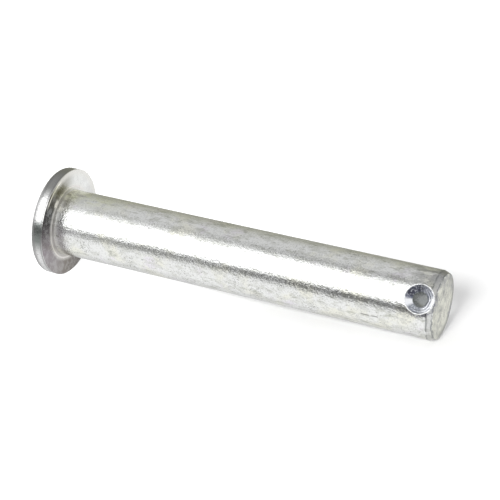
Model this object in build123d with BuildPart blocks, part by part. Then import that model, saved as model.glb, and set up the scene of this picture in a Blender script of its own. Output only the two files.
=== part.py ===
"""Clevis pin: a plain round shank with a flat round head and a flared cross hole near its tip.

The pin stands on its head: the origin is the centre of the head's outer face, +Z runs along the
shank to the tip, and the cross hole runs along X. All lengths are in millimetres.
"""

import os

from build123d import *

# Head
HEAD_DIAMETER = 26.0
HEAD_THICKNESS = 3.4
HEAD_OUTER_ROUND = 1.2  # between the outer face and the rim
HEAD_RIM_ROUND = 0.3  # between the rim and the bearing face

# Shank
SHANK_DIAMETER = 16.0
SHANK_LENGTH = 95.0  # from the bearing face to the end face
NECK_FILLET = 0.8  # where the shank meets the bearing face
TIP_CHAMFER_LENGTH = 1.4  # along the shank
TIP_CHAMFER_DEPTH = 0.55  # towards the axis
TIP_EDGE_ROUND = 0.3  # between the chamfer and the end face

# Cross hole
HOLE_DIAMETER = 3.2
HOLE_END_DISTANCE = 3.7  # from the hole's axis to the end face
FLARE_WIDTH = 1.8  # from the bore's wall to the flare's rim, along the shank's surface
FLARE_DEPTH = 1.3  # from the shank's surface to the start of the bore's wall

# Radii and heights that follow from the sizes above
HEAD_RADIUS = HEAD_DIAMETER / 2
SHANK_RADIUS = SHANK_DIAMETER / 2
HOLE_RADIUS = HOLE_DIAMETER / 2
BEARING_FACE_Z = HEAD_THICKNESS
END_FACE_Z = BEARING_FACE_Z + SHANK_LENGTH
HOLE_Z = END_FACE_Z - HOLE_END_DISTANCE

# The bar that the hole is drilled in runs past the end face, so that the flare forms whole
# before the tip is cut to shape: the flare's rim may run into the tip's chamfer.
BAR_OVERRUN = HOLE_DIAMETER + FLARE_WIDTH
BAR_TOP_Z = END_FACE_Z + BAR_OVERRUN

with BuildPart() as clevis_pin:
    # Head and over-long bar, turned about the pin's axis
    with BuildSketch(Plane.YZ) as outline:
        with BuildLine():
            Polyline(
                (0, 0),
                (HEAD_RADIUS, 0),
                (HEAD_RADIUS, BEARING_FACE_Z),
                (SHANK_RADIUS, BEARING_FACE_Z),
                (SHANK_RADIUS, BAR_TOP_Z),
                (0, BAR_TOP_Z),
                close=True,
            )
        make_face()
        outer_corner = outline.vertices().group_by(Axis.Y)[0].sort_by(Axis.X)[-1]
        neck_corner, rim_corner = outline.vertices().group_by(Axis.Y)[1].sort_by(Axis.X)
        fillet(outer_corner, radius=HEAD_OUTER_ROUND)
        fillet(neck_corner, radius=NECK_FILLET)
        fillet(rim_corner, radius=HEAD_RIM_ROUND)
    revolve(axis=Axis.Z)

    # Cross hole, right through
    with BuildSketch(Plane.YZ):
        with Locations((0, HOLE_Z)):
            Circle(HOLE_RADIUS)
    extrude(amount=SHANK_DIAMETER, both=True, mode=Mode.SUBTRACT)

    # Flare of even width round each mouth of the hole
    mouths = clevis_pin.edges(Select.LAST).filter_by(GeomType.LINE, reverse=True)
    shank_wall = clevis_pin.faces().filter_by(GeomType.CYLINDER).sort_by(SortBy.AREA)[-1]
    chamfer(mouths, length=FLARE_WIDTH, length2=FLARE_DEPTH, reference=shank_wall)

    # Tip cut back to the end face and its chamfer, by a ring that passes outside the shank
    with BuildSketch(Plane.YZ) as tip_waste:
        with BuildLine():
            Polyline(
                (0, END_FACE_Z),
                (SHANK_RADIUS - TIP_CHAMFER_DEPTH, END_FACE_Z),
                (SHANK_RADIUS + TIP_CHAMFER_DEPTH, END_FACE_Z - 2 * TIP_CHAMFER_LENGTH),
                (SHANK_RADIUS + BAR_OVERRUN, END_FACE_Z - 2 * TIP_CHAMFER_LENGTH),
                (SHANK_RADIUS + BAR_OVERRUN, BAR_TOP_Z + BAR_OVERRUN),
                (0, BAR_TOP_Z + BAR_OVERRUN),
                close=True,
            )
        make_face()
        face_corner = tip_waste.vertices().group_by(Axis.Y)[-2].sort_by(Axis.X)[-1]
        fillet(face_corner, radius=TIP_EDGE_ROUND)
    revolve(axis=Axis.Z, mode=Mode.SUBTRACT)

clevis_pin.part.label = "clevis_pin"

os.makedirs("parts", exist_ok=True)
export_step(clevis_pin.part, "parts/clevis_pin.step")
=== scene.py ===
"""Looks and stage for the clevis pin, in the CAD row frame: metres, +Z from the head to the tip."""

import math

import bpy
from mathutils import Matrix, Vector

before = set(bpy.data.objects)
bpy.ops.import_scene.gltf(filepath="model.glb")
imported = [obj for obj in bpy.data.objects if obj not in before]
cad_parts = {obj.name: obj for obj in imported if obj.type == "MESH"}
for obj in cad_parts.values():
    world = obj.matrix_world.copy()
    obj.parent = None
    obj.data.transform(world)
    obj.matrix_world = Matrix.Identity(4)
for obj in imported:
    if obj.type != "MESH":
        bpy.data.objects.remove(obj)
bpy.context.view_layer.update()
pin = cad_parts["clevis_pin"]

# Sizes of the pin that the looks follow, in millimetres
SHANK_RADIUS = 8.0
HEAD_RADIUS = 13.0
BEARING_FACE_Z = 3.4
HEAD_RIM_ROUND = 0.3
END_FACE_Z = 98.4
TIP_CHAMFER_LENGTH = 1.4
HOLE_Z = 94.7
HOLE_RADIUS = 1.6
FLARE_RADIUS = 3.4
CHAMFER_Z = END_FACE_Z - TIP_CHAMFER_LENGTH

# How far the shading rounds the sharp edges, in millimetres
SOFT_EDGE = 0.15

# The camera's place in metres, the way back from what it looks at, and the upward side that lays
# the pin across the picture
CAMERA_AT = Vector((0.33728, 0.01929, 0.18134))
CAMERA_BACK = Vector((0.93075, 0.06116, 0.3605)).normalized()
CAMERA_UP = Vector((0.14256, -0.96859, -0.20375)).normalized()
CAMERA_LENS = 112.37
CAMERA_SENSOR = 36.0

# How bright the world is on plain surfaces; the camera, metal and glass see it at 1
WORLD_FILL = 0.7

# The table that the pin lies on in the main view, along the head's rim and the chamfer's edge. It
# is turned to the azimuth that its upper side faces. Its size is in metres, and its gap to the
# pin in millimetres.
TABLE_TURN = math.radians(-60.48)
TABLE_SIZE = 6.0
TABLE_GAP = 0.05
TABLE_PAPER = 0.86
# Its paper also glows for camera, glossy and transmission rays, and more away from the tip, where
# the lamp falls off. The pin's metal looks past the table to the world. Distances are in metres.
TABLE_GLOW = 0.06
TABLE_GLOW_FAR = 0.50
TABLE_GLOW_CENTRE_Z = 0.09
TABLE_GLOW_STARTS = 0.024
TABLE_GLOW_FULL = 0.08

# The low soft lamp: the point on the axis that it shines at, and how far it stands from that
# point, in metres
LAMP_POWER = 2.6
LAMP_DIAMETER = 0.13
LAMP_AIM_Z = 0.08
LAMP_RISE = 0.23
LAMP_TOWARDS_TIP = 0.03
LAMP_TOWARDS_CAMERA = 0.44

# The studio's wall stands round the pin, with an opening on the table's side through which the
# metal sees the white background. How bright it is all round: (azimuth from the camera's side in
# degrees, positive towards the top of the main view; brightness). The metal near the tip looks
# at the upper ring, and the metal near the head at the lower one. A slope is height over radius.
WALL_RADIUS = 1.2
WALL_LOW_SLOPE = -1.5
WALL_HIGH_SLOPE = 0.28
WALL_OPENING = (-112, -50)
WALL_STEP = 2
UPPER_RING = (
    (-180, 0.70), (-150, 0.74), (-124, 0.84), (-112, 1.0), (-56, 1.0), (-50, 0.66), (-44, 0.14),
    (-25, 0.10), (-17, 1.9), (30, 1.9), (38, 1.3), (44, 0.95), (48, 0.75), (53, 0.27), (61, 0.27),
    (67, 0.70), (100, 0.68), (116, (0.58, 0.58, 0.56)), (128, (0.48, 0.48, 0.43)),
    (150, (0.38, 0.38, 0.33)), (168, (0.42, 0.42, 0.37)), (180, 0.70),
)
LOWER_RING = (
    (-180, 0.70), (-150, 0.74), (-124, 0.84), (-112, 1.0), (-54, 1.0), (-46, 1.0), (-41, 0.46),
    (-26, 0.32), (-16, 1.9), (28, 1.9), (36, 1.3), (42, 1.0), (50, 0.80), (57, 0.70), (66, 0.70),
    (100, 0.64), (116, (0.54, 0.54, 0.50)), (128, (0.48, 0.48, 0.42)),
    (150, (0.40, 0.40, 0.34)), (168, (0.44, 0.44, 0.38)), (180, 0.70),
)
UPPER_RING_SLOPE = -0.31
LOWER_RING_SLOPE = -0.41

# Colours of the plate and of what has happened to it, and of painted shade, highlight and reflection on it
PLATE = (0.87, 0.88, 0.87)
YELLOW_TINT = (0.87, 0.87, 0.79)
VIOLET_TINT = (0.86, 0.84, 0.88)
DULL_PATCH = (0.66, 0.67, 0.63)
WORN_SPOT = (0.30, 0.31, 0.28)
SPECK = (0.34, 0.34, 0.33)
GREY_GRAIN = (0.50, 0.50, 0.50)
DRAWN_STREAK = (0.42, 0.43, 0.37)
OLIVE_REFLECTION = (0.30, 0.29, 0.22)
YELLOWED = (0.70, 0.72, 0.50)
SCORE = (0.22, 0.22, 0.21)
SCUFF = (0.30, 0.30, 0.29)
END_DARK = (0.52, 0.52, 0.46)
END_LIGHT = (0.76, 0.76, 0.66)
END_SPECK = (0.30, 0.31, 0.27)
END_EDGE_SHADE = (0.24, 0.25, 0.22)
CHAMFER_SHADE = (0.30, 0.30, 0.29)
TIP_SHADE = (0.30, 0.30, 0.31)
CHAMFER_LINE = (0.20, 0.21, 0.21)
FLARE_SPECK = (0.85, 0.87, 0.90)
FLARE_EDGE_HIGHLIGHT = (0.94, 0.95, 0.97)
FLARE_SHADE = (0.20, 0.20, 0.25)
BORE_SHADE = (0.16, 0.18, 0.18)
FACE_REFLECTION_LIGHT = (0.80, 0.79, 0.75)
FACE_GLINT = (0.95, 0.92, 0.84)
NECK = (0.86, 0.82, 0.80)
RIM_GRAIN_AND_SHADE = (0.24, 0.24, 0.24)

# Colours of painted highlight and shade round the flare: from the head's side, under the hole, past the
# tip's side, over the top
FLARE_TONES = (
    (0.00, (0.10, 0.11, 0.17)), (0.04, (0.90, 0.91, 0.94)), (0.09, (0.86, 0.88, 0.92)),
    (0.13, (0.22, 0.24, 0.28)), (0.27, (0.30, 0.32, 0.36)), (0.34, (0.80, 0.82, 0.86)),
    (0.52, (0.93, 0.94, 0.96)), (0.58, (0.40, 0.42, 0.47)), (0.72, (0.20, 0.21, 0.25)),
    (0.80, (0.05, 0.055, 0.085)), (0.95, (0.02, 0.022, 0.045)), (1.00, (0.10, 0.11, 0.17)),
)
# Colours of painted reflection, highlight and shade round the head's bearing face and rim, by azimuth from
# -180 to 180 degrees as 0 to 1
BEARING_TONES = (
    (0.00, (0.30, 0.28, 0.26)), (0.20, (0.84, 0.85, 0.84)), (0.30, (0.80, 0.81, 0.79)),
    (0.38, (0.20, 0.19, 0.14)), (0.44, (0.12, 0.11, 0.09)), (0.50, (0.03, 0.03, 0.03)),
    (0.55, (0.06, 0.05, 0.055)), (0.62, (0.27, 0.24, 0.26)), (0.72, (0.30, 0.28, 0.28)),
    (0.80, (0.20, 0.18, 0.16)), (0.90, (0.11, 0.10, 0.09)), (1.00, (0.30, 0.28, 0.26)),
)
RIM_TONES = (
    (0.00, 0.66), (0.24, (0.26, 0.26, 0.25)), (0.34, (0.26, 0.26, 0.25)), (0.42, (0.36, 0.36, 0.35)),
    (0.46, 0.90), (0.52, 0.90), (0.54, (0.18, 0.20, 0.19)), (0.59, (0.22, 0.24, 0.23)),
    (0.63, 0.72), (0.80, 0.78), (1.00, 0.66),
)
# How much the ring next to the neck's fillet shines, by the same azimuth
NECK_SHINE = (
    (0.0, 0.2), (0.30, 0.8), (0.40, 0.75), (0.46, 0.35), (0.52, 0.5), (0.62, 0.85), (0.74, 0.75), (1.0, 0.2),
)
# Scores, in millimetres: z, y, length and width. Scuffs: z, y and reach.
SCORES = ((82.9, 5.85, 2.2, 0.16), (85.2, 5.82, 1.9, 0.14))
SCUFFS = (
    (51.7, 4.9, 1.6), (56.3, 6.6, 2.4), (63.4, -5.6, 1.1), (64.3, -3.9, 1.2), (12.0, 5.4, 2.6),
    (24.0, 6.6, 2.2), (38.0, 6.9, 2.4), (70.0, 7.0, 2.2), (77.0, -6.8, 2.0), (44.0, -7.0, 2.6),
    (5.0, 1.6, 1.5), (6.4, 2.6, 1.3),
)
# The wavy dark lines of painted shade along the chamfer's edges: z and width
CHAMFER_LINES = ((CHAMFER_Z, 0.30), (END_FACE_Z - 0.2, 0.28))

# How deep the relief is, in micrometres
GRAIN_DEPTH = 48
FINE_DEPTH = 34
GRIT_DEPTH = 20
MOTTLE_DEPTH = 14
DRILL_RING_DEPTH = 16


def rgba(colour):
    return (colour, colour, colour, 1.0) if isinstance(colour, (int, float)) else (*colour, 1.0)


class Nodes:
    """Short forms for building a node tree."""

    def __init__(self, tree):
        self.tree = tree
        tree.nodes.clear()

    def add(self, kind, inputs=None, **settings):
        node = self.tree.nodes.new(kind)
        for name, value in settings.items():
            setattr(node, name, value)
        for key, value in (inputs or {}).items():
            self.feed(node.inputs[key], value)
        return node

    def feed(self, socket, value):
        if isinstance(value, bpy.types.NodeSocket):
            self.tree.links.new(value, socket)
        elif isinstance(value, bpy.types.Node):
            self.tree.links.new(value.outputs[0], socket)
        else:
            socket.default_value = value

    def math(self, operation, a, b=None, c=None):
        node = self.add("ShaderNodeMath", operation=operation)
        for socket, value in zip(node.inputs, (a, b, c)):
            if value is not None:
                self.feed(socket, value)
        return node.outputs[0]

    def times(self, *factors):
        """The product of two or more values."""
        product = factors[0]
        for factor in factors[1:]:
            product = self.math("MULTIPLY", product, factor)
        return product

    def distance(self, a, b):
        """The length of the vector whose two parts are given."""
        return self.math("SQRT", self.math("ADD", self.times(a, a), self.times(b, b)))

    def off(self, value, middle):
        """How far a value is from a middle, either way."""
        return self.math("ABSOLUTE", self.math("SUBTRACT", value, middle))

    def step(self, value, start, end):
        """0 before start and 1 after end, smoothly between; start may be above end."""
        low, high = (start, end) if start < end else (end, start)
        node = self.add("ShaderNodeMapRange", interpolation_type="SMOOTHSTEP")
        self.feed(node.inputs["Value"], value)
        node.inputs["From Min"].default_value = low
        node.inputs["From Max"].default_value = high
        node.inputs["To Min"].default_value = 0.0 if start < end else 1.0
        node.inputs["To Max"].default_value = 1.0 if start < end else 0.0
        return node.outputs["Result"]

    def band(self, value, zero_low, one_low, one_high, zero_high):
        """1 between the inner two places and 0 beyond the outer two."""
        return self.times(self.step(value, zero_low, one_low), self.step(value, zero_high, one_high))

    def ramp(self, value, stops):
        node = self.add("ShaderNodeValToRGB", {"Fac": value})
        elements = node.color_ramp.elements
        while len(elements) > 1:
            elements.remove(elements[-1])
        elements[0].position = stops[0][0]
        elements[0].color = rgba(stops[0][1])
        for position, colour in stops[1:]:
            elements.new(position).color = rgba(colour)
        return node.outputs[0]

    def mix(self, factor, a, b):
        node = self.add("ShaderNodeMix", data_type="RGBA")
        self.feed(node.inputs[0], factor)
        self.feed(node.inputs[6], rgba(a) if isinstance(a, (int, float, tuple)) else a)
        self.feed(node.inputs[7], rgba(b) if isinstance(b, (int, float, tuple)) else b)
        return node.outputs[2]

    def noise(self, place, scale, detail, roughness):
        settings = {"Vector": place, "Scale": scale, "Detail": detail, "Roughness": roughness}
        return self.add("ShaderNodeTexNoise", settings).outputs["Fac"]

    def stretch(self, place, factors):
        return self.add("ShaderNodeVectorMath", {0: place, 1: factors}, operation="MULTIPLY").outputs[0]

    def bump(self, height, micrometres, normal):
        """micrometres is what a height of 1 stands for."""
        inputs = {"Height": height, "Strength": 1.0, "Distance": micrometres * 1e-6, "Normal": normal}
        return self.add("ShaderNodeBump", inputs).outputs["Normal"]

    def seen(self):
        """1 for camera, glossy and transmission rays, and 0 for the others."""
        path = self.add("ShaderNodeLightPath")
        either = self.math("MAXIMUM", path.outputs["Is Camera Ray"], path.outputs["Is Transmission Ray"])
        return self.math("MAXIMUM", either, path.outputs["Is Glossy Ray"])

    def surface(self, shader):
        self.add("ShaderNodeOutputMaterial", {"Surface": shader})


def new_material(name):
    material = bpy.data.materials.new(name)
    material.use_nodes = True
    return material, Nodes(material.node_tree)


def new_object(name, data):
    thing = bpy.data.objects.new(name, data)
    bpy.context.scene.collection.objects.link(thing)
    return thing


def build_camera():
    data = bpy.data.cameras.new("camera")
    data.sensor_width = CAMERA_SENSOR
    data.lens = CAMERA_LENS
    data.clip_start = 0.01
    data.clip_end = 20.0
    camera = new_object("camera", data)
    right = CAMERA_UP.cross(CAMERA_BACK).normalized()
    up = CAMERA_BACK.cross(right)
    turn = Matrix((right, up, CAMERA_BACK)).transposed()
    camera.matrix_world = Matrix.Translation(CAMERA_AT) @ turn.to_4x4()
    bpy.context.scene.camera = camera


def build_world():
    """The white background, which the camera, metal and glass see; softer on plain surfaces."""
    world = bpy.data.worlds.new("studio")
    bpy.context.scene.world = world
    world.use_nodes = True
    n = Nodes(world.node_tree)
    strength = n.math("MULTIPLY_ADD", n.seen(), 1.0 - WORLD_FILL, WORLD_FILL)
    background = n.add("ShaderNodeBackground", {"Color": rgba(1.0), "Strength": strength})
    n.add("ShaderNodeOutputWorld", {"Surface": background})


def wall_mesh(front):
    """The curved wall, from azimuth -180 to 180 degrees about the front, less its opening."""
    points, faces = [], []
    for azimuth in range(-180, 181, WALL_STEP):
        turn = front - math.radians(azimuth)
        for slope in (WALL_LOW_SLOPE, WALL_HIGH_SLOPE):
            points.append((WALL_RADIUS * math.cos(turn), WALL_RADIUS * math.sin(turn), WALL_RADIUS * slope))
        if azimuth < 180 and not WALL_OPENING[0] <= azimuth < WALL_OPENING[1]:
            corner = len(points) - 2
            faces.append((corner, corner + 1, corner + 3, corner + 2))
    mesh = bpy.data.meshes.new("studio_wall")
    mesh.from_pydata(points, [], faces)
    return mesh


def ring_stops(ring):
    """A ring's azimuths as places along a colour ramp, from 0 to 1 once round."""
    return sorted((round(0.5 - azimuth / 360.0, 4), brightness) for azimuth, brightness in ring)


def wall_material(front):
    material, n = new_material("studio_wall")
    at = n.add("ShaderNodeTexCoord").outputs["Object"]
    turned = n.add("ShaderNodeVectorRotate", {"Vector": at, "Angle": -front}, rotation_type="Z_AXIS")
    split = n.add("ShaderNodeSeparateXYZ", {0: turned})
    angle = n.math("ARCTAN2", split.outputs["Y"], split.outputs["X"])
    around = n.math("MULTIPLY_ADD", angle, 1 / (2 * math.pi), 0.5)
    slope = n.math("DIVIDE", split.outputs["Z"], WALL_RADIUS)
    upper = n.ramp(around, ring_stops(UPPER_RING))
    lower = n.ramp(around, ring_stops(LOWER_RING))
    panels = n.mix(n.step(slope, UPPER_RING_SLOPE, LOWER_RING_SLOPE), upper, lower)
    n.surface(n.add("ShaderNodeEmission", {"Color": panels, "Strength": 1.0}))
    return material


def build_studio_wall():
    """A curved wall of soft panels and dark cards round the pin, seen only in the metal."""
    front = math.atan2(CAMERA_BACK.y, CAMERA_BACK.x)
    wall = new_object("studio_wall", wall_mesh(front))
    wall.visible_camera = False
    wall.visible_diffuse = False
    wall.visible_shadow = False
    wall.data.materials.append(wall_material(front))


def table_material(glow_centre):
    material, n = new_material("table")
    geometry = n.add("ShaderNodeNewGeometry")
    ends = {0: geometry.outputs["Position"], 1: glow_centre}
    away = n.add("ShaderNodeVectorMath", ends, operation="DISTANCE").outputs["Value"]
    far_glow = n.times(n.step(away, TABLE_GLOW_STARTS, TABLE_GLOW_FULL), TABLE_GLOW_FAR)
    strength = n.times(n.seen(), n.math("ADD", far_glow, TABLE_GLOW))
    paper = n.add("ShaderNodeBsdfDiffuse", {"Color": rgba(TABLE_PAPER)})
    glow = n.add("ShaderNodeEmission", {"Color": rgba(1.0), "Strength": strength})
    top = n.add("ShaderNodeAddShader", {0: paper, 1: glow})
    clear = n.add("ShaderNodeBsdfTransparent")
    n.surface(n.add("ShaderNodeMixShader", {0: geometry.outputs["Backfacing"], 1: top, 2: clear}))
    return material


def build_table():
    """The white table under the lying pin, seen from above only; returns its normal."""
    lean = math.atan2(HEAD_RADIUS - SHANK_RADIUS, CHAMFER_Z - (BEARING_FACE_Z - HEAD_RIM_ROUND))
    across = Vector((math.cos(TABLE_TURN), math.sin(TABLE_TURN), 0.0))
    normal = across * math.cos(lean) - Vector((0.0, 0.0, math.sin(lean)))
    reach = HEAD_RADIUS * math.cos(lean) + (BEARING_FACE_Z - HEAD_RIM_ROUND) * math.sin(lean) + TABLE_GAP
    below_axis = -normal * reach / 1000.0
    half = TABLE_SIZE / 2
    corners = [(-half, -half, 0), (half, -half, 0), (half, half, 0), (-half, half, 0)]
    mesh = bpy.data.meshes.new("table")
    mesh.from_pydata(corners, [], [(0, 1, 2, 3)])
    table = new_object("table", mesh)
    table.matrix_world = Matrix.Translation(below_axis) @ normal.to_track_quat("Z", "Y").to_matrix().to_4x4()
    table.visible_glossy = False
    mesh.materials.append(table_material(tuple(Vector((0, 0, TABLE_GLOW_CENTRE_Z)) + below_axis)))
    return normal


def build_lamp(normal):
    """A low soft lamp on the camera's side; it throws the shadow behind the pin and past its tip."""
    data = bpy.data.lights.new("soft_lamp", "AREA")
    data.shape = "DISK"
    data.size = LAMP_DIAMETER
    data.energy = LAMP_POWER
    lamp = new_object("soft_lamp", data)
    along = (Vector((0, 0, 1)) - normal * normal.z).normalized()
    near = normal.cross(along)
    near = near if near.dot(CAMERA_AT) > 0 else -near
    aim = Vector((0, 0, LAMP_AIM_Z))
    lamp.location = aim + normal * LAMP_RISE + along * LAMP_TOWARDS_TIP + near * LAMP_TOWARDS_CAMERA
    lamp.rotation_euler = (lamp.location - aim).to_track_quat("Z", "Y").to_euler()
    lamp.visible_glossy = False


class Surface:
    """Where a point of the pin lies, in millimetres and degrees, what part it is on, and its noises."""

    def __init__(self, n):
        self.place = n.stretch(n.add("ShaderNodeTexCoord").outputs["Object"], (1000.0, 1000.0, 1000.0))
        xyz = n.add("ShaderNodeSeparateXYZ", {0: self.place})
        self.x, self.y, self.z = xyz.outputs["X"], xyz.outputs["Y"], xyz.outputs["Z"]
        self.radius = n.distance(self.x, self.y)
        self.azimuth = n.math("DEGREES", n.math("ARCTAN2", self.y, self.x))
        self.turn = n.math("MULTIPLY_ADD", self.azimuth, 1 / 360.0, 0.5)
        self.hole_z = n.math("SUBTRACT", self.z, HOLE_Z)
        self.from_hole = n.distance(self.y, self.hole_z)
        self.mark_parts(n)
        self.fine = n.noise(self.place, 2.6, 3.0, 0.6)
        self.grit = n.noise(self.place, 5.5, 2.0, 0.5)
        self.grain = n.noise(self.place, 1.9, 1.5, 0.5)
        self.mottle = n.noise(n.stretch(self.place, (1.0, 1.0, 0.55)), 0.75, 4.0, 0.6)
        self.worn = n.times(n.step(self.fine, 0.57, 0.68), n.step(self.mottle, 0.62, 0.44))

    def mark_parts(self, n):
        face, end, rim = BEARING_FACE_Z, END_FACE_Z, HEAD_RADIUS
        self.near_wall = n.step(self.radius, 5.0, 6.4)
        hole, flare = HOLE_RADIUS, FLARE_RADIUS
        bore = n.step(self.from_hole, hole + 0.25, hole + 0.02)
        self.in_bore = n.times(bore, n.step(self.radius, 7.3, 6.9))
        cone = n.band(self.from_hole, hole, hole + 0.15, flare - 0.3, flare - 0.05)
        self.in_flare = n.times(cone, self.near_wall)
        edge = n.band(self.from_hole, flare - 0.25, flare - 0.12, flare, flare + 0.18)
        self.flare_edge = n.times(edge, self.near_wall)
        self.on_end = n.step(self.z, end - 0.12, end - 0.03)
        self.on_chamfer = n.band(self.z, CHAMFER_Z - 0.1, CHAMFER_Z + 0.1, end - 0.25, end - 0.1)
        self.on_bearing = n.band(self.z, face - 0.25, face - 0.1, face + 0.05, face + 0.35)
        outermost = n.step(self.radius, rim - 0.5, rim - 0.1)
        self.on_rim = n.times(outermost, n.step(self.z, face - 0.1, face - 0.3))


def paint(n, under, where, colour, amount=1.0):
    """Lays a colour over another, as far as the place and the amount say."""
    return n.mix(n.times(where, amount), under, colour)


def plate_colour(n, s):
    """Neutral zinc with a faint passivated tint that comes and goes, dull patches and specks."""
    patch = n.noise(s.place, 0.16, 3.0, 0.55)
    zinc = n.mix(n.step(patch, 0.48, 0.66), PLATE, YELLOW_TINT)
    zinc = paint(n, zinc, n.step(n.noise(s.place, 0.24, 2.0, 0.5), 0.58, 0.72), VIOLET_TINT)
    zinc = paint(n, zinc, n.step(s.mottle, 0.52, 0.38), DULL_PATCH, 0.62)
    zinc = paint(n, zinc, s.worn, WORN_SPOT, 0.75)
    zinc = paint(n, zinc, n.step(s.grit, 0.64, 0.74), SPECK, 0.5)
    return paint(n, zinc, n.step(n.noise(s.place, 2.3, 1.0, 0.5), 0.52, 0.62), GREY_GRAIN, 0.22)


def paint_shank(n, s, zinc):
    """Dull streaks left from drawing the bar, a patchy painted reflection of the bearing face in olive on
    the upper side next to the head, and yellow on the upper side near the head.
    """
    drawn = n.noise(n.stretch(s.place, (1.0, 1.0, 0.32)), 0.85, 4.0, 0.62)
    sides = n.step(n.math("ABSOLUTE", s.y), 2.0, 5.0)
    past_face = n.step(s.z, BEARING_FACE_Z + 0.4, BEARING_FACE_Z + 1.0)
    outside = n.step(s.radius, SHANK_RADIUS - 0.6, SHANK_RADIUS - 0.2)
    zinc = paint(n, zinc, n.times(n.step(drawn, 0.55, 0.68), sides, past_face, outside), DRAWN_STREAK, 0.55)
    upper_side = n.times(n.step(s.y, -2.8, -6.0), n.step(s.x, -4.0, 0.0))
    # Painted reflection of the bearing face: patchy olive on the upper side next to the head.
    dull = n.times(n.step(s.z, 9.5, 5.0), upper_side, n.step(s.mottle, 0.66, 0.40))
    zinc = paint(n, zinc, dull, OLIVE_REFLECTION, 0.85)
    yellowed = n.times(n.step(s.z, 22.0, 13.0), upper_side, n.step(s.mottle, 0.40, 0.56))
    return paint(n, zinc, yellowed, YELLOWED, 0.5)


def paint_marks(n, s, zinc):
    """The two scores beside the hole, and scuffs along the shank, on the side of the main view."""
    camera_side = n.step(s.x, 0.0, 1.0)
    for score_z, score_y, length, width in SCORES:
        along = n.step(n.off(s.z, score_z), length / 2, length / 2 - 0.3)
        across = n.step(n.off(s.y, score_y), width, width * 0.3)
        zinc = paint(n, zinc, n.times(along, across, camera_side), SCORE, 0.85)
    for scuff_z, scuff_y, reach in SCUFFS:
        away = n.distance(n.math("SUBTRACT", s.z, scuff_z), n.math("SUBTRACT", s.y, scuff_y))
        scuff = n.times(n.step(away, reach, reach * 0.2), n.step(s.fine, 0.48, 0.66), camera_side)
        zinc = paint(n, zinc, scuff, SCUFF, 0.6)
    return zinc


def paint_tip(n, s, zinc):
    """The sawn end, the chamfer with painted shade darker towards the top and thin dark lines of painted
    shade along its edges, and a shade on top of the shank's end.

    The end is blotched, and has painted shade at its border away from the camera.
    """
    blotch = n.noise(s.place, 0.55, 4.0, 0.65)
    end_colour = n.mix(n.step(blotch, 0.40, 0.60), END_DARK, END_LIGHT)
    end_colour = paint(n, end_colour, n.step(s.fine, 0.58, 0.68), END_SPECK, 0.6)
    # Painted shade at the end face's border away from the camera.
    border = n.times(n.step(s.radius, 5.0, 7.3), n.step(s.x, 1.5, -4.0))
    end_colour = paint(n, end_colour, border, END_EDGE_SHADE)
    zinc = paint(n, zinc, s.on_end, end_colour)
    # Painted shade on the chamfer, darker towards the top.
    darker_above = n.math("MULTIPLY_ADD", n.step(s.y, 1.0, -4.0), 0.45, 0.35)
    zinc = paint(n, zinc, n.times(s.on_chamfer, darker_above), CHAMFER_SHADE)
    topside = n.times(n.step(s.z, 87.0, 96.5), n.step(s.y, -3.0, -5.0), n.step(s.mottle, 0.66, 0.46))
    zinc = paint(n, zinc, topside, TIP_SHADE, 0.62)
    # Painted shade as thin wavy broken dark lines along the chamfer's two edges, on the camera's side.
    wave = n.math("MULTIPLY_ADD", n.noise(s.place, 0.5, 3.0, 0.6), 0.9, -0.45)
    wavy_z = n.math("ADD", s.z, wave)
    broken = n.step(n.noise(s.place, 0.8, 3.0, 0.6), 0.36, 0.52)
    for line_z, width in CHAMFER_LINES:
        line = n.times(n.step(n.off(wavy_z, line_z), width, width * 0.1), n.step(s.x, -4.0, 1.0), broken)
        zinc = paint(n, zinc, line, CHAMFER_LINE, 0.8)
    return zinc


def paint_hole(n, s, zinc):
    """The drilled flare, with painted highlight and shade round it, dark blue from its top round to the
    head's side, and what is near it.

    Its edge has a painted highlight, a crescent of painted shade lies beyond it below and towards the tip,
    and painted shade darkens the bore.
    """
    # Painted highlight and shade round the flare, by the angle about the hole, with specks.
    around = n.math("DEGREES", n.math("ARCTAN2", n.times(s.y, -1.0), s.hole_z))
    flare_painted_light = n.ramp(n.math("MULTIPLY_ADD", around, 1 / 360.0, 0.5), FLARE_TONES)
    flare_painted_light = paint(n, flare_painted_light, n.step(s.fine, 0.52, 0.60), FLARE_SPECK, 0.45)
    zinc = paint(n, zinc, s.in_flare, flare_painted_light, 0.96)
    # Painted highlight on the flare's edge, broken up by noise.
    zinc = paint(n, zinc, n.times(s.flare_edge, n.step(s.fine, 0.42, 0.54)), FLARE_EDGE_HIGHLIGHT)
    # Painted shade in a crescent beyond the flare, below it and towards the tip.
    beyond = n.band(s.from_hole, FLARE_RADIUS, FLARE_RADIUS + 0.2, FLARE_RADIUS + 0.35, FLARE_RADIUS + 0.9)
    below = n.step(n.math("ADD", s.y, s.hole_z), 0.5, 3.0)
    shade = n.times(beyond, s.near_wall, below, n.step(s.fine, 0.60, 0.44))
    zinc = paint(n, zinc, shade, FLARE_SHADE, 0.8)
    # Painted shade in the bore.
    return paint(n, zinc, s.in_bore, BORE_SHADE)


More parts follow.
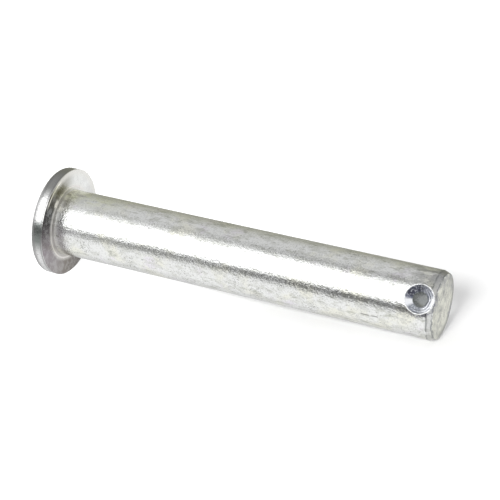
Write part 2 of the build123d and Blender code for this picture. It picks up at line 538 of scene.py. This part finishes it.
def paint_bearing_face(n, s, zinc):
    """Painted reflection and shade, dark on one side and light on the other, with patchy grey, a painted
    glint, a painted highlight along the edge and a painted highlight on a ring by the neck.
    """
    # Painted reflection and shade round the bearing face by azimuth, with patchy grey.
    bearing_reflection = n.mix(n.times(n.step(s.mottle, 0.42, 0.6), 0.25), n.ramp(s.turn, BEARING_TONES), 0.62)
    # Painted lighter reflection on the outer border on one side and round the middle.
    lit_border = n.times(n.step(s.radius, 11.0, 12.5), n.step(s.azimuth, -16.0, -34.0), 0.7)
    lit_middle = n.times(n.step(s.radius, 9.9, 9.0), 0.45)
    bearing_reflection = paint(n, bearing_reflection, n.math("MAXIMUM", lit_border, lit_middle), FACE_REFLECTION_LIGHT)
    # Painted glint near the neck, and a painted highlight along the face's outer edge.
    glint = n.times(n.band(s.azimuth, -27.0, -21.0, -15.0, -10.0), n.band(s.radius, 8.3, 8.8, 9.5, 10.2))
    edge = n.times(n.band(s.azimuth, -46.0, -34.0, -12.0, -2.0), n.band(s.radius, 12.1, 12.3, 12.55, 12.75))
    bearing_reflection = paint(n, bearing_reflection, n.math("MAXIMUM", glint, edge), FACE_GLINT, 0.9)
    zinc = paint(n, zinc, s.on_bearing, bearing_reflection)
    # Painted highlight on a ring next to the neck's fillet.
    ring = n.band(s.radius, SHANK_RADIUS + 0.55, SHANK_RADIUS + 0.8, SHANK_RADIUS + 0.9, SHANK_RADIUS + 1.15)
    return paint(n, zinc, n.times(ring, s.on_bearing, n.ramp(s.turn, NECK_SHINE)), NECK)


def paint_rim(n, s, zinc):
    """Painted highlight and shade round the rim, with grey grain, and painted shade greyer towards the edges
    of its band.
    """
    # Painted highlight and shade round the rim by azimuth, with grey grain specks.
    tones = paint(n, n.ramp(s.turn, RIM_TONES), n.step(s.fine, 0.56, 0.64), RIM_GRAIN_AND_SHADE, 0.5)
    zinc = paint(n, zinc, s.on_rim, tones)
    # Painted shade towards both edges of the rim's band.
    edges = n.math("MAXIMUM", n.step(s.z, 1.75, 1.15), n.band(s.z, 2.55, 2.85, 3.08, 3.22))
    outside = n.step(s.radius, SHANK_RADIUS + 1.5, HEAD_RADIUS - 1.4)
    return paint(n, zinc, n.times(edges, outside), RIM_GRAIN_AND_SHADE, 0.62)


def roughness(n, s):
    """Rougher where it is mottled, worn or sawn, and round the neck."""
    rough = n.math("MULTIPLY_ADD", s.mottle, 0.16, 0.05)
    neck = n.times(n.step(s.z, 6.4, 3.6), n.step(s.radius, 9.6, 8.6))
    for where, amount in ((neck, 0.25), (s.worn, 0.15), (s.on_end, 0.16)):
        rough = n.math("ADD", rough, n.times(where, amount))
    return rough


def relief(n, s):
    """Rolled grain, pits, and the drill's rings in the flare, on softened edges."""
    normal = n.add("ShaderNodeBevel", {"Radius": SOFT_EDGE / 1000.0}, samples=6).outputs["Normal"]
    wobble = n.math("MULTIPLY_ADD", s.from_hole, 11.0, n.times(s.mottle, 9.0))
    rings = n.times(n.math("SINE", wobble), s.in_flare)
    layers = ((s.grain, GRAIN_DEPTH), (s.fine, FINE_DEPTH), (s.grit, GRIT_DEPTH), (s.mottle, MOTTLE_DEPTH))
    for height, depth in (*layers, (rings, DRILL_RING_DEPTH)):
        normal = n.bump(height, depth, normal)
    return normal


def build_pin_material():
    material, n = new_material("zinc_plate")
    s = Surface(n)
    zinc = plate_colour(n, s)
    for paint_part in (paint_shank, paint_marks, paint_tip, paint_hole, paint_bearing_face, paint_rim):
        zinc = paint_part(n, s, zinc)
    inputs = {"Metallic": 1.0, "Base Color": zinc, "Roughness": roughness(n, s), "Normal": relief(n, s)}
    n.surface(n.add("ShaderNodeBsdfPrincipled", inputs))
    pin.data.materials.clear()
    pin.data.materials.append(material)


bpy.context.scene.view_settings.view_transform = "Standard"
build_camera()
build_world()
build_studio_wall()
build_lamp(build_table())
build_pin_material()
